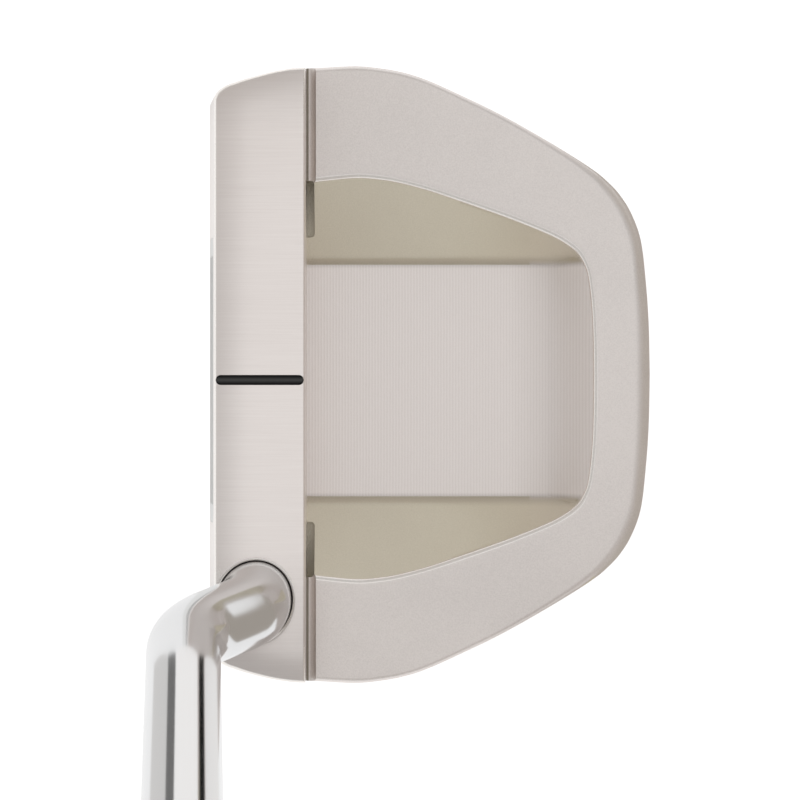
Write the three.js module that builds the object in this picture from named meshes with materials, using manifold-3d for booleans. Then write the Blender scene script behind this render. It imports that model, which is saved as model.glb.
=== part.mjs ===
// Mallet putter: milled head with a raised front bar and a pocketed rear flange, bent shaft, paddle grip.
// Millimetres. +Z up, sole on z = 0, face towards -Y, toe towards -X, heel and shaft towards +X.
import * as THREE from 'three';
import { mergeVertices } from 'three/addons/utils/BufferGeometryUtils.js';
import Module from 'manifold-3d';

const wasm = await Module();
wasm.setup();

// Head
const BAR_TOP = 25;
const BAR_BACK = -18.2;
const LEADING_EDGE = -32.84;
const FACE_TOP_Y = -31.5;
const FACE_TOP_Z = 24.2;
const FACE_LOW_Z = 3;
const RIM_TOP = 13;
const FLOOR = 4;
const FLOOR_HALF = 17.35;
const OUTLINE_CENTRE = -0.85;
const SOLE_EDGE = 1.6;
const SOLE_FLAT_END = 8;
const SOLE_LIFT = 2.4;
const TOP_EDGE = 0.7;
const BAR_EDGE = 0.6;
const SLOT_LOW = 6.3;
const SLOT_LONG = 8.4;
const SLOT_WIDE = 1.25;
const CHANNEL_WIDE = 1.2;
const CHANNEL_DEEP = 0.6;
const LEG_WEB = 3.2;
const REACH = 110;

// Face insert
const INSERT_HALF = 21;
const INSERT_LOW = 4.2;
const INSERT_HIGH = 20.6;
const INSERT_THICK = 2.2;
const PAD_THICK = 0.5;
const GROOVES = 12;
const CLEAR = 0.1;
const INSERT_CORNER = 3;
const GROOVE_DEEP = 0.4;
const GROOVE_WIDE = 0.55;

// Sight line
const LINE_HALF = 0.72;
const LINE_DEPTH = 0.5;

// Sole weights
const WEIGHT_X = 37.3;
const WEIGHT_Y = -8.5;
const WEIGHT_R = 5.4;
const WEIGHT_DEEP = 7.8;
const WASHER = 0.6;
const HEX_ACROSS = 5;

// Shaft: centre line corners, radii and lengths
const BORE_TOP = new THREE.Vector3(32.4, -25.6, BAR_TOP);
const TIP_DIR = new THREE.Vector3(0.38, -0.12, 1).normalize();
const BEND_LOW = new THREE.Vector3().copy(BORE_TOP).addScaledVector(TIP_DIR, 3.2);
const BEND_HIGH = new THREE.Vector3(36.9, -35.3, 40.3);
const SHAFT_DIR = new THREE.Vector3(0.364, 0.036, 1).normalize();
const TIP_DEPTH = 13;
const BEND_LOW_R = 11;
const BEND_HIGH_R = 17;
const TIP_R = 5.3;
const SHAFT_R = 5.32;
const BUTT_R = 7.35;
const WALL = 0.48;
const SWEEP_END = 30;
const SHAFT_END = 818;
const BORE_R = 5.62;
const ROUND = 36;

// Grip
const GRIP_LOW = 557;
const GRIP_HIGH = 818.4;
const TAPE_THICK = 0.3;
const SKIN = 1.4;
const CAP = 3.4;
const COLLAR = 7;
const CAP_VENT = 1.4;

// Plain band on the shaft
const BAND_LOW = 470;
const BAND_LONG = 42;
const BAND_THICK = 0.25;

const steel = { color: 0xcbc4bf, roughness: 0.42, metalness: 1 };
const chrome = { color: 0xe4e4e6, roughness: 0.08, metalness: 1 };
const alloy = { color: 0xb9bab8, roughness: 0.4, metalness: 1 };
const dark = { color: 0x8d8a86, roughness: 0.35, metalness: 1 };
const paint = { color: 0x111112, roughness: 0.35, metalness: 0 };
const rubber = { color: 0x1b1b1d, roughness: 0.8, metalness: 0 };
const soft = { color: 0x35373a, roughness: 0.9, metalness: 0 };
const tape = { color: 0xe9e4d2, roughness: 0.8, metalness: 0 };
const glue = { color: 0xcdbd92, roughness: 0.4, metalness: 0 };
const film = { color: 0x6c6e72, roughness: 0.4, metalness: 0 };
const nylon = { color: 0xf0eee6, roughness: 0.6, metalness: 0 };

const group = new THREE.Group();

function solid(geometry) {
  const g = geometry.clone();
  g.deleteAttribute('normal');
  g.deleteAttribute('uv');
  const m = mergeVertices(g, 1e-4);
  return new wasm.Manifold(new wasm.Mesh({
    numProp: 3,
    vertProperties: new Float32Array(m.attributes.position.array),
    triVerts: new Uint32Array(m.index.array),
  }));
}

function surface(manifold) {
  const mesh = manifold.getMesh();
  const g = new THREE.BufferGeometry();
  g.setAttribute('position', new THREE.BufferAttribute(new Float32Array(mesh.vertProperties), 3));
  g.setIndex(new THREE.BufferAttribute(new Uint32Array(mesh.triVerts), 1));
  const flat = g.toNonIndexed();
  flat.computeVertexNormals();
  return flat;
}

function add(name, geometry, look, parent = group) {
  const mesh = new THREE.Mesh(geometry, new THREE.MeshStandardMaterial(look));
  mesh.name = name;
  parent.add(mesh);
  return mesh;
}

function prism(points, low, high, steps = 1) {
  const shape = new THREE.Shape(points.map(([x, y]) => new THREE.Vector2(x, y)));
  const g = new THREE.ExtrudeGeometry(shape, { depth: high - low, steps, bevelEnabled: false });
  return g.translate(0, 0, low);
}

// An upright solid whose section changes from one outline at the bottom to another at the top.
function loft(lower, upper, low, high, steps, ease) {
  const g = prism(upper, 0, 1, steps);
  const p = g.attributes.position;
  for (let i = 0; i < p.count; i += 1) {
    const gaps = upper.map(([x, y]) => Math.hypot(x - p.getX(i), y - p.getY(i)));
    const [x, y] = lower[gaps.indexOf(Math.min(...gaps))];
    const t = p.getZ(i);
    const s = ease(t);
    p.setXYZ(i, x + (p.getX(i) - x) * s, y + (p.getY(i) - y) * s, low + (high - low) * t);
  }
  return g;
}

function spline(points, count) {
  const curve = new THREE.SplineCurve(points.map(([x, y]) => new THREE.Vector2(x, y)));
  return curve.getSpacedPoints(count).map((v) => [v.x, v.y]);
}

function mirrored(half) {
  return [...half, ...half.slice(0, -1).reverse().map(([x, y]) => [-x, y])];
}

function ring(outer, inner, low, high, segments = ROUND) {
  const profile = [[inner, low], [outer, low], [outer, high], [inner, high], [inner, low]];
  return lathe(profile, segments);
}

function lathe(profile, segments = ROUND) {
  const g = new THREE.LatheGeometry(profile.map(([x, y]) => new THREE.Vector2(x, y)), segments);
  return g.rotateX(Math.PI / 2);
}

// ---------------------------------------------------------------- head body
const flangeSide = [
  ...spline([[45.3, -19], [45.7, -12], [45.4, -7], [44.2, -1.9]], 8),
  ...spline([[43.6, 0], [38.7, 10.5], [32.6, 21.1]], 5),
  ...spline([[31.1, 23.3], [28.7, 26.5], [26, 28.8], [22, 30.8], [17, 31.8]], 8),
  ...spline([[14, 32.1], [7, 32.6], [0, 32.8]], 3),
];
const flangeOutline = mirrored(flangeSide).map(([x, y]) => [x + OUTLINE_CENTRE, y]);
const inset = (points, by) => points.map(([x, y]) => [
  OUTLINE_CENTRE + (x - OUTLINE_CENTRE) * (1 - by / 40),
  y > 0 ? y - by * (y / 33) : y,
]);
const roundIn = (t) => Math.sin(t * Math.PI / 2);
const roundOff = (t) => 1 - Math.sqrt(1 - t * t);
const shoulder = RIM_TOP - TOP_EDGE;
const flange = solid(loft(inset(flangeOutline, SOLE_EDGE), flangeOutline, 0, 3.5, 3, roundIn))
  .add(solid(prism(flangeOutline, 3.5, shoulder)))
  .add(solid(loft(flangeOutline, inset(flangeOutline, TOP_EDGE), shoulder, RIM_TOP, 2, roundOff)));

const barProfile = [
  [BAR_BACK + 0.2, 0], [BAR_BACK + 0.2, 3], [BAR_BACK, 3], [BAR_BACK, BAR_TOP - 0.4],
  [BAR_BACK - 0.4, BAR_TOP - 0.05], [-24, BAR_TOP], [-30.4, BAR_TOP - 0.1], [-31.15, BAR_TOP - 0.3],
  [FACE_TOP_Y, FACE_TOP_Z],
  [LEADING_EDGE, FACE_LOW_Z], [LEADING_EDGE + 0.3, 1.5], [LEADING_EDGE + 1.2, 0.5], [LEADING_EDGE + 2.6, 0],
];
const sideways = (profile) => new THREE.ExtrudeGeometry(
  new THREE.Shape(profile.map(([y, z]) => new THREE.Vector2(y, z))),
  { depth: REACH, bevelEnabled: false },
).rotateX(Math.PI / 2).rotateZ(Math.PI / 2).translate(-REACH / 2, 0, 0);
const toePoints = [[-40.9, -32.9], [-42.6, -31.2], [-43.4, -29], [-44.6, -24], [-45.45, -19], [-45.6, -17.6]];
const heelPoints = [[39.3, -32.9], [41.3, -31.3], [42.1, -29.5], [43.3, -24], [44, -19], [44.1, -17.6]];
const toeEnd = spline(toePoints, 8);
const heelEnd = spline(heelPoints, 8);
const barOutline = [...toeEnd, ...heelEnd.reverse()];
const barInset = (by) => barOutline.map(([x, y]) => [x - Math.sign(x) * by, y]);
const barPlan = solid(loft(barInset(1.4), barOutline, -1, 3, 2, roundIn))
  .add(solid(prism(barOutline, 3, BAR_TOP - BAR_EDGE)))
  .add(solid(loft(barOutline, barInset(BAR_EDGE), BAR_TOP - BAR_EDGE, BAR_TOP + 0.5, 2, roundOff)));
const bar = solid(sideways(barProfile)).intersect(barPlan);
const liftAt = (y) => SOLE_LIFT * (y - SOLE_FLAT_END) / (33 - SOLE_FLAT_END);
const soleLift = solid(sideways([[SOLE_FLAT_END, 0], [SOLE_FLAT_END, -2], [40, -2], [40, liftAt(40)]]));

// Open pocket: flat floor, sloped side walls and a rear wall that curves up to the rim.
const rimSide = [
  ...spline([[28.9, BAR_BACK], [29.6, -12], [29.4, -7], [28, -0.6]], 6),
  ...spline([[26.8, 3], [24.2, 10.5], [21.3, 17.9]], 4),
  ...spline([[20, 20.1], [18, 22.2], [15.2, 23.4], [12, 23.95]], 5),
  ...spline([[8, 24.1], [0, 24.3]], 2),
];
const floorSide = rimSide.map(([x, y]) => [
  Math.min(FLOOR_HALF, x * 0.87 + 1),
  y > 14 ? 14 + (y - 14) * 0.34 : y,
]);
floorSide[floorSide.length - 1][0] = 0;
const hollow = (t) => 1 - Math.sqrt(1 - t ** 1.25);
const pocket = solid(loft(mirrored(floorSide), mirrored(rimSide), FLOOR, RIM_TOP + 0.1, 4, hollow))
  .add(solid(prism(mirrored(rimSide), RIM_TOP + 0.05, BAR_TOP + 5)));

// Relief slots where the side walls meet the bar, and the shallow channel behind the bar.
const behindBar = (long, wide, low, x) => {
  const box = new THREE.BoxGeometry(long, wide, RIM_TOP + 1 - low);
  return solid(box.translate(x, BAR_BACK + wide / 2, (RIM_TOP + 1 + low) / 2));
};
const slot = (x) => behindBar(SLOT_LONG, SLOT_WIDE, SLOT_LOW, x);
const slots = slot(-25.5).add(slot(25.3));
const channel = behindBar(REACH, CHANNEL_WIDE, RIM_TOP - CHANNEL_DEEP, 0);

// Lightening pockets milled into the sole: under the toe and heel legs of the flange, and along the bar.
const legPocket = (side) => {
  const path = [[32.6, 2.4], [40, 2.4], [38.4, 6], [29.6, 21.6], [26.6, 24.8], [23.6, 25.6], [25.2, 20]];
  const points = path.map(([x, y]) => [side * x + OUTLINE_CENTRE, y]);
  return solid(prism(points, -1, RIM_TOP - LEG_WEB));
};
const barPocket = solid(new THREE.BoxGeometry(52, 5.6, 16).translate(-10, -23.6, 6));

const along = (geometry, from, direction) => {
  const turn = new THREE.Quaternion().setFromUnitVectors(new THREE.Vector3(0, 0, 1), direction);
  return geometry.applyQuaternion(turn).translate(from.x, from.y, from.z);
};
const tipEnd = new THREE.Vector3().copy(BORE_TOP).addScaledVector(TIP_DIR, -TIP_DEPTH);
const bore = solid(along(lathe([[0, -0.6], [BORE_R, -0.6], [BORE_R, 30], [0, 30]]), tipEnd, TIP_DIR));

// The insert lies in a pocket square to the lofted face.
const loftTurn = Math.atan2(FACE_TOP_Y - LEADING_EDGE, FACE_TOP_Z - FACE_LOW_Z);
const onFace = (geometry) => geometry.rotateX(-loftTurn).translate(0, LEADING_EDGE, FACE_LOW_Z);
const plate = (half, low, high, front, back, r) => {
  const s = new THREE.Shape();
  s.moveTo(-half + r, low);
  s.lineTo(half - r, low);
  s.absarc(half - r, low + r, r, -Math.PI / 2, 0);
  s.lineTo(half, high - r);
  s.absarc(half - r, high - r, r, 0, Math.PI / 2);
  s.lineTo(-half + r, high);
  s.absarc(-half + r, high - r, r, Math.PI / 2, Math.PI);
  s.lineTo(-half, low + r);
  s.absarc(-half + r, low + r, r, Math.PI, Math.PI * 1.5);
  const g = new THREE.ExtrudeGeometry(s, { depth: back - front, bevelEnabled: false, curveSegments: 3 });
  return g.rotateX(Math.PI / 2).translate(0, back, 0);
};
const low = INSERT_LOW - FACE_LOW_Z;
const high = INSERT_HIGH - FACE_LOW_Z;
const padBack = INSERT_THICK + PAD_THICK;
const insertPocket = solid(onFace(plate(INSERT_HALF, low, high, -3, padBack + CLEAR, INSERT_CORNER)));

const lineSolid = (half, depth, top, front, back) => {
  const s = new THREE.Shape();
  s.moveTo(-half, front);
  s.lineTo(half, front);
  s.lineTo(half, back - half);
  s.absarc(0, back - half, half, 0, Math.PI);
  s.lineTo(-half, front);
  const g = new THREE.ExtrudeGeometry(s, { depth: depth + top, bevelEnabled: false, curveSegments: 6 });
  return g.translate(0, 0, BAR_TOP - depth);
};
const lineCut = solid(lineSolid(LINE_HALF, LINE_DEPTH, 2, -33, BAR_BACK - 0.15));

const weightBore = (side) => solid(ring(WEIGHT_R + 0.12, 0, -1, WEIGHT_DEEP + WASHER + 0.15)
  .translate(side * WEIGHT_X + OUTLINE_CENTRE, WEIGHT_Y, 0));

const cuts = [
  pocket, slots, channel, soleLift, legPocket(1), legPocket(-1), barPocket, bore, insertPocket, lineCut,
  weightBore(1), weightBore(-1),
];
const body = cuts.reduce((left, cut) => left.subtract(cut), flange.add(bar));
add('head_body', surface(body), steel);

// ---------------------------------------------------------------- face insert and its backing
const insertCorner = INSERT_CORNER - CLEAR;
let insert = solid(plate(INSERT_HALF - CLEAR, low + CLEAR, high - CLEAR, 0.02, INSERT_THICK, insertCorner));
const grooveBox = new THREE.BoxGeometry(INSERT_HALF * 2 - 5, GROOVE_DEEP * 2, GROOVE_WIDE);
for (let i = 0; i < GROOVES; i += 1) {
  const z = low + 1.7 + i * (high - low - 3.4) / (GROOVES - 1);
  insert = insert.subtract(solid(grooveBox.clone().translate(0, 0, z)));
}
add('face_insert', onFace(surface(insert)), alloy);
const padFront = INSERT_THICK + 0.04;
const pad = plate(INSERT_HALF - 0.3, low + 0.3, high - 0.3, padFront, padBack, INSERT_CORNER - 0.3);
add('insert_backing', onFace(pad), soft);

// ---------------------------------------------------------------- sight line paint
const painted = lineSolid(LINE_HALF - 0.04, LINE_DEPTH - 0.05, -0.12, -30.9, BAR_BACK - 0.2);
add('sight_line_paint', painted, paint);

// ---------------------------------------------------------------- sole weights on nylon washers
const hexR = HEX_ACROSS / Math.sqrt(3);
const hex = new THREE.CylinderGeometry(hexR, hexR, 4, 6).rotateX(Math.PI / 2).translate(0, 0, 1.6);
const weightProfile = [
  [0, 0.35], [WEIGHT_R - 0.4, 0.35], [WEIGHT_R, 0.75], [WEIGHT_R, WEIGHT_DEEP], [0, WEIGHT_DEEP],
];
for (const [side, where] of [[-1, 'toe'], [1, 'heel']]) {
  const x = side * WEIGHT_X + OUTLINE_CENTRE;
  const weight = solid(lathe(weightProfile)).subtract(solid(hex.clone()));
  const washer = ring(WEIGHT_R - 0.3, 2.2, WEIGHT_DEEP + 0.05, WEIGHT_DEEP + WASHER);
  add(`sole_weight_${where}`, surface(weight).translate(x, WEIGHT_Y, 0), dark);
  add(`weight_washer_${where}`, washer.translate(x, WEIGHT_Y, 0), nylon);
}

// ---------------------------------------------------------------- shaft
// Straight runs joined by true arcs at the two bends.
class BentLine extends THREE.Curve {
  constructor(corners, radii) {
    super();
    this.parts = [];
    let from = corners[0];
    for (let i = 1; i < corners.length - 1; i += 1) {
      const before = new THREE.Vector3().subVectors(corners[i], corners[i - 1]).normalize();
      const after = new THREE.Vector3().subVectors(corners[i + 1], corners[i]).normalize();
      const turn = before.angleTo(after);
      const cut = radii[i - 1] * Math.tan(turn / 2);
      const start = new THREE.Vector3().copy(corners[i]).addScaledVector(before, -cut);
      const end = new THREE.Vector3().copy(corners[i]).addScaledVector(after, cut);
      const inward = after.clone().addScaledVector(before, -before.dot(after)).normalize();
      this.addRun(from, start);
      this.addArc(start, before, inward, radii[i - 1], turn);
      from = end;
    }
    this.addRun(from, corners[corners.length - 1]);
    this.total = this.parts.reduce((sum, part) => sum + part.length, 0);
  }

  addRun(a, b) {
    this.parts.push({
      length: a.distanceTo(b),
      at: (s, length) => new THREE.Vector3().lerpVectors(a, b, s / length),
    });
  }

  addArc(start, forward, inward, radius, turn) {
    this.parts.push({
      length: radius * turn,
      at: (s) => new THREE.Vector3().copy(start)
        .addScaledVector(forward, radius * Math.sin(s / radius))
        .addScaledVector(inward, radius * (1 - Math.cos(s / radius))),
    });
  }

  getPoint(t) {
    let s = t * this.total;
    for (const part of this.parts) {
      if (s <= part.length || part === this.parts[this.parts.length - 1]) {
        return part.at(Math.min(s, part.length), part.length);
      }
      s -= part.length;
    }
    return null;
  }
}
const place = (s) => new THREE.Vector3().copy(BEND_HIGH).addScaledVector(SHAFT_DIR, s);
const sweep = (radius, lowEnd, sides) => {
  const start = new THREE.Vector3().copy(BORE_TOP).addScaledVector(TIP_DIR, -lowEnd);
  const path = new BentLine([start, BEND_LOW, BEND_HIGH, place(SWEEP_END)], [BEND_LOW_R, BEND_HIGH_R]);
  const circle = new THREE.Shape().absarc(0, 0, radius, 0, Math.PI * 2);
  const settings = { extrudePath: path, steps: 30, curveSegments: sides, bevelEnabled: false };
  return new THREE.ExtrudeGeometry(circle, settings);
};
const taperR = (s) => SHAFT_R + (BUTT_R - SHAFT_R) * Math.min(1, Math.max(0, s / GRIP_LOW));
const straight = (thin, to) => {
  const from = SWEEP_END - 4;
  const wide = BUTT_R - thin;
  const profile = [[0, from], [taperR(from) - thin, from], [wide, GRIP_LOW], [wide, to], [0, to]];
  return solid(along(lathe(profile), BEND_HIGH, SHAFT_DIR));
};
const shaftOuter = solid(sweep(TIP_R, TIP_DEPTH, 16)).add(straight(0, SHAFT_END));
const shaftInner = solid(sweep(TIP_R - WALL, TIP_DEPTH + 3, 10)).add(straight(WALL, SHAFT_END + 5));
add('shaft', surface(shaftOuter.subtract(shaftInner)), chrome);
const plugR = TIP_R - WALL - 0.35;
add('tip_plug', along(lathe([[0, 0.5], [plugR, 0.5], [plugR, 9], [0, 9]], 20), tipEnd, TIP_DIR), nylon);
const glueRing = ring(BORE_R - 0.06, TIP_R + 0.06, 0.4, TIP_DEPTH - 4.5);
add('shaft_adhesive', along(glueRing, tipEnd, TIP_DIR), glue);

// ---------------------------------------------------------------- grip, in the frame of the straight shaft
const upper = new THREE.Group();
const across = new THREE.Vector3().crossVectors(new THREE.Vector3(0, 1, 0), SHAFT_DIR).normalize();
const ahead = new THREE.Vector3().crossVectors(SHAFT_DIR, across);
upper.quaternion.setFromRotationMatrix(new THREE.Matrix4().makeBasis(across, ahead, SHAFT_DIR));
upper.position.copy(BEND_HIGH);
group.add(upper);

// Section with a flat towards the toe side and a full back; it swells towards the butt.
const SECTION = spline([[-1, -0.62], [-0.8, -0.84], [-0.2, -1], [0.45, -0.88], [0.9, -0.5], [1.06, 0]], 12);
const section = [...SECTION, ...SECTION.slice(0, -1).reverse().map(([x, y]) => [x, -y])];
const gripWide = (t) => 9.9 + 3.6 * t ** 1.3;
const gripDeep = (t) => 10.2 + 4.2 * t ** 1.5;
const gripShift = (t) => 0.2 + 1.5 * t ** 2;
function sleeve(thin, from, to, steps) {
  const g = prism(section, 0, 1, steps);
  const p = g.attributes.position;
  for (let i = 0; i < p.count; i += 1) {
    const s = from + (to - from) * p.getZ(i);
    const t = Math.max(0, (s - GRIP_LOW) / (GRIP_HIGH - GRIP_LOW));
    p.setXYZ(i, p.getX(i) * (gripDeep(t) - thin) + gripShift(t), p.getY(i) * (gripWide(t) - thin), s);
  }
  return g;
}
const coreBore = BUTT_R + TAPE_THICK + 0.15;
const gripBore = solid(ring(coreBore, 0, GRIP_LOW - 5, GRIP_HIGH + 5));
const GRIP_STEPS = 12;
const skinInside = solid(sleeve(SKIN, GRIP_LOW - 1, GRIP_HIGH + 1, GRIP_STEPS));
const skin = solid(sleeve(0, GRIP_LOW, GRIP_HIGH, GRIP_STEPS)).subtract(skinInside);
add('grip_skin', surface(skin), rubber, upper);
const core = solid(sleeve(SKIN + 0.1, GRIP_LOW + 0.2, GRIP_HIGH - 0.2, GRIP_STEPS)).subtract(gripBore);
add('grip_core', surface(core), soft, upper);
const tapeRing = ring(BUTT_R + TAPE_THICK + 0.05, BUTT_R + 0.05, GRIP_LOW + 2, SHAFT_END - 1);
add('grip_tape', tapeRing, tape, upper);
const vent = solid(ring(CAP_VENT, 0, GRIP_HIGH - 2, GRIP_HIGH + 8, 16));
const cap = solid(sleeve(0.3, GRIP_HIGH + 0.1, GRIP_HIGH + CAP - 0.8, 1))
  .add(solid(sleeve(1.1, GRIP_HIGH + 1, GRIP_HIGH + CAP, 1)));
add('grip_cap', surface(cap.subtract(vent)), rubber, upper);
const collarLow = GRIP_LOW - COLLAR;
const collarHigh = GRIP_LOW - 0.1;
const collarProfile = [
  [BUTT_R + 0.1, collarLow], [BUTT_R + 1.4, collarLow], [BUTT_R + 2, collarHigh], [BUTT_R + 0.1, collarHigh],
  [BUTT_R + 0.1, collarLow],
];
add('grip_collar', lathe(collarProfile), rubber, upper);
const bandTop = BAND_LOW + BAND_LONG;
const bandR = (s) => taperR(s) + 0.06;
const bandR0 = bandR(BAND_LOW);
const bandR1 = bandR(bandTop);
const bandProfile = [
  [bandR0, BAND_LOW], [bandR0 + BAND_THICK, BAND_LOW], [bandR1 + BAND_THICK, bandTop], [bandR1, bandTop],
  [bandR0, BAND_LOW],
];
add('shaft_band', lathe(bandProfile), film, upper);

export default group;
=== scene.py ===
# Mallet putter: the visible surfaces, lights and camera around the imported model.
# Blender works in metres; the dimensions below are in mm, and MM turns them into metres.
import math

import bmesh
import bpy
from mathutils import Matrix, Vector


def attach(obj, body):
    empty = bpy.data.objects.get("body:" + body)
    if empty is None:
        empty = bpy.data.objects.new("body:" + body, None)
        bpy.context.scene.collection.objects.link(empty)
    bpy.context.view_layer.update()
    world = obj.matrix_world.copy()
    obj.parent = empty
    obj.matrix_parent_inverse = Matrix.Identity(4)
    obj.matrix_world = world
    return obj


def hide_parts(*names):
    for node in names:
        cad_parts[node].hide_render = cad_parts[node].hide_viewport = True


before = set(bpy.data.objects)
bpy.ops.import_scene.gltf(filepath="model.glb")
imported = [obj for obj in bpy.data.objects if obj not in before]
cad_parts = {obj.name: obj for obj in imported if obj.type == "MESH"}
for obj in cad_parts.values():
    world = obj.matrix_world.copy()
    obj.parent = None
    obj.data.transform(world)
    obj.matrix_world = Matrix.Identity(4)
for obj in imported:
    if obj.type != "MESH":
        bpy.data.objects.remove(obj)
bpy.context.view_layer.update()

MM = 0.001
BAR_TOP = 25.0
BAR_BACK = -18.2
LEADING = -32.84
FACE_TOP = -31.5
FACE_LOW, FACE_HIGH = 3.0, 24.2
RIM = 13.0
FLOOR = 4.0


# ------------------------------------------------------------------ mesh helpers
def catmull(points, per):
    """Smooth line through the points, with per steps between neighbours."""
    out = []
    n = len(points)
    for i in range(n - 1):
        p0 = points[max(i - 1, 0)]
        p1, p2 = points[i], points[i + 1]
        p3 = points[min(i + 2, n - 1)]
        for k in range(per):
            t = k / per
            out.append(tuple(
                0.5 * (2 * b + (c - a) * t + (2 * a - 5 * b + 4 * c - d) * t * t
                       + (3 * b - a - 3 * c + d) * t ** 3)
                for a, b, c, d in zip(p0, p1, p2, p3)
            ))
    out.append(tuple(points[-1]))
    return out


def arc(cx, cy, r, a0, a1, n):
    """Points on an arc, angles in degrees."""
    angles = [math.radians(a0 + (a1 - a0) * k / n) for k in range(n + 1)]
    return [(cx + r * math.cos(a), cy + r * math.sin(a)) for a in angles]


def sharpen(bm, angle):
    """Smooth faces, with edges sharper than angle kept crisp."""
    limit = math.radians(angle)
    for f in bm.faces:
        f.smooth = True
    for e in bm.edges:
        e.smooth = len(e.link_faces) != 2 or e.calc_face_angle(0.0) < limit


def obj_from(bm, name, mat, nodes=(), angle=30.0):
    bmesh.ops.remove_doubles(bm, verts=bm.verts, dist=1e-7)
    bmesh.ops.recalc_face_normals(bm, faces=bm.faces)
    sharpen(bm, angle)
    me = bpy.data.meshes.new(name)
    bm.to_mesh(me)
    bm.free()
    ob = bpy.data.objects.new(name, me)
    bpy.context.scene.collection.objects.link(ob)
    if mat:
        me.materials.append(mat)
    if nodes is not None:
        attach(ob, "root")
        if nodes:
            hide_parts(*nodes)
    return ob


def strip(bm, loops, close=True, ends=False):
    """Quads between successive loops of points, in mm. Returns the vertex rows."""
    rows = [[bm.verts.new((x * MM, y * MM, z * MM)) for x, y, z in loop] for loop in loops]
    n = len(rows[0])
    for a, b in zip(rows, rows[1:]):
        for i in range(n if close else n - 1):
            j = (i + 1) % n
            bm.faces.new((a[i], a[j], b[j], b[i]))
    if ends:
        bm.faces.new(rows[0])
        bm.faces.new(rows[-1])
    return rows


def turned(profile, steps, place=None, bm=None):
    """Turned piece: profile of (radius, height) in mm about Z, then placed by a matrix."""
    bm = bm or bmesh.new()
    rows = []
    for r, h in profile:
        if r < 1e-6:
            rows.append([bm.verts.new((0, 0, h * MM))] * steps)
        else:
            rows.append([bm.verts.new((x * MM, y * MM, h * MM)) for x, y in arc(0, 0, r, 0, 360, steps)[:-1]])
    for a, b in zip(rows, rows[1:]):
        for i in range(steps):
            j = (i + 1) % steps
            ring = list(dict.fromkeys((a[i], a[j], b[j], b[i])))
            if len(ring) > 2:
                bm.faces.new(ring)
    if place:
        bmesh.ops.transform(bm, matrix=place, verts=list({v for row in rows for v in row}))
    return bm


def boolean(target, cutter, how="DIFFERENCE"):
    """Adds or cuts away a scratch object, or a bmesh, and removes it."""
    if isinstance(cutter, bmesh.types.BMesh):
        cutter = obj_from(cutter, "scratch", None, nodes=None)
    mod = target.modifiers.new("b", "BOOLEAN")
    mod.operation = how
    mod.object = cutter
    mod.solver = "EXACT"
    bpy.context.view_layer.update()
    deps = bpy.context.evaluated_depsgraph_get()
    done = bpy.data.meshes.new_from_object(target.evaluated_get(deps))
    target.modifiers.remove(mod)
    old = target.data
    target.data = done
    bpy.data.meshes.remove(old)
    bpy.data.objects.remove(cutter)


def finish_mesh(ob, angle):
    """Clean up after booleans and shade by face area."""
    bm = bmesh.new()
    bm.from_mesh(ob.data)
    bmesh.ops.remove_doubles(bm, verts=bm.verts, dist=1e-6)
    bmesh.ops.dissolve_degenerate(bm, edges=bm.edges, dist=1e-6)
    sharpen(bm, angle)
    bm.to_mesh(ob.data)
    bm.free()
    weigh = ob.modifiers.new("normals", "WEIGHTED_NORMAL")
    weigh.keep_sharp = True


def prism(points, low, high, place=None):
    """Upright solid from a plan outline."""
    bm = bmesh.new()
    strip(bm, [[(x, y, low) for x, y in points], [(x, y, high) for x, y in points]], ends=True)
    if place:
        bmesh.ops.transform(bm, matrix=place, verts=bm.verts)
    return bm


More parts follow.
